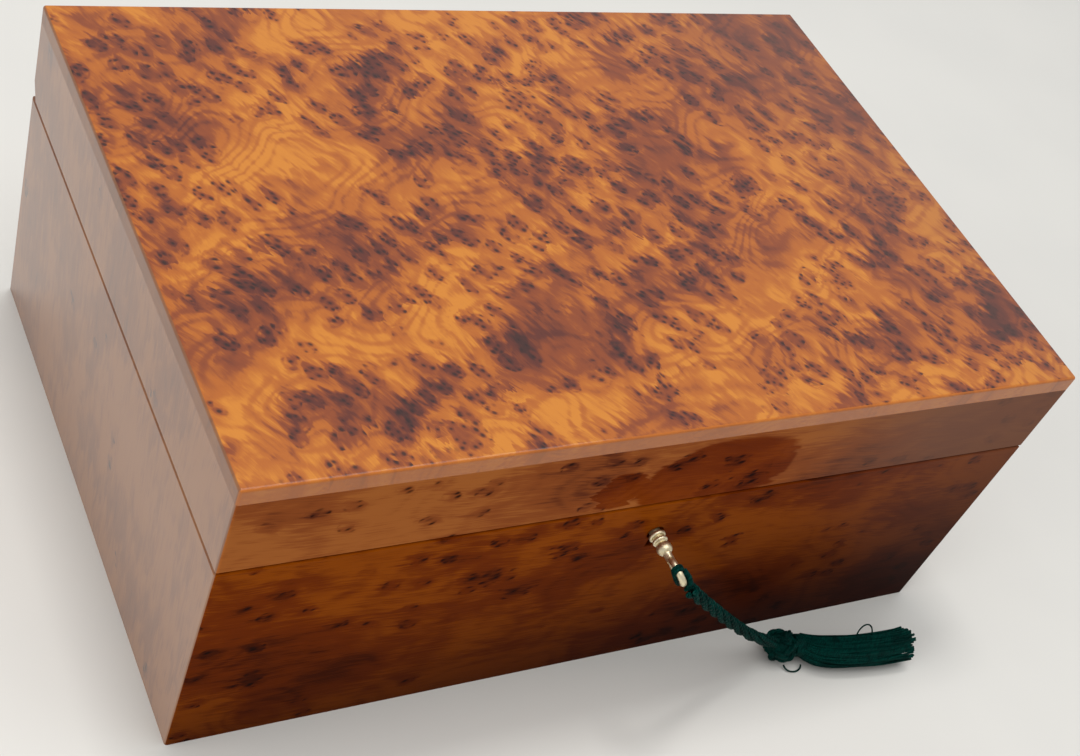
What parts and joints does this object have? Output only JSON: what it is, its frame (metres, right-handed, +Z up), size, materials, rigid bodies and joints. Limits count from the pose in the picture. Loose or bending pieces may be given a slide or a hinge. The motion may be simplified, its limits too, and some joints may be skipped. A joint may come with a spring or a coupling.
{
  "type": "keepsake box",
  "caption": "Rectangular burl wood box with a flat hinged lid, a lock let into the front, its ring key, and a corded tassel tied to the key.",
  "frame": {"origin": "middle of the flat underside of the base", "axes": "+X to the right along the front, +Y to the back where the hinges are, +Z up out of the rest face"},
  "size_m": [0.3, 0.2316, 0.124],
  "materials": {
    "burl_top": "high gloss lacquer over figured burl",
    "burl_front": "high gloss lacquer over straight grained burl wood",
    "burl_side": "high gloss lacquer",
    "plain_wood": "matt",
    "brass": "satin",
    "key_metal": "polished, pale",
    "spring_steel": "satin",
    "green_cord": "silky twisted cord"
  },
  "bodies": {
    "base": {"base_front_board": "burl_front", "base_back_board": "burl_side", "base_left_board": "burl_side", "base_right_board": "burl_side", "base_floor_panel": "plain_wood", "hinge_left_base_leaf": "brass", "hinge_left_pin": "brass", "hinge_right_base_leaf": "brass", "hinge_right_pin": "brass", "lock_case": "brass", "lock_cap": "brass", "lock_drill_pin": "brass", "lock_spring": "spring_steel", "tassel_cord": "green_cord", "tassel_head": "green_cord", "tassel_throat": "green_cord", "tassel_skirt": "green_cord"},
    "lid": {"lid_top_panel": "burl_top", "lid_front_rail": "burl_front", "lid_back_rail": "burl_side", "lid_left_rail": "burl_side", "lid_right_rail": "burl_side", "hinge_left_lid_leaf": "brass", "hinge_right_lid_leaf": "brass", "link_plate": "brass"},
    "key": {"key": "key_metal", "tassel_loop": "green_cord"},
    "bolt": {"lock_bolt": "brass"}
  },
  "joints": [
    {"name": "lid_hinge", "type": "hinge", "parent": "base", "child": "lid", "pos_m": [0, 0.097, 0.0893], "axis": [-1, 0, 0], "range_deg": [0, 95]},
    {"name": "key_turn", "type": "hinge", "parent": "base", "child": "key", "pos_m": [0, -0.1, 0.0725], "axis": [0, -1, 0], "range_deg": [-33, 32]},
    {"name": "bolt_slide", "type": "slide", "parent": "base", "child": "bolt", "axis": [1, 0, 0], "range_m": [-0.00299, 0.0029]}
  ],
  "couplings": [
    {"joint": "key_turn", "follows": "bolt_slide", "rad_per_m": 192.3}
  ]
}
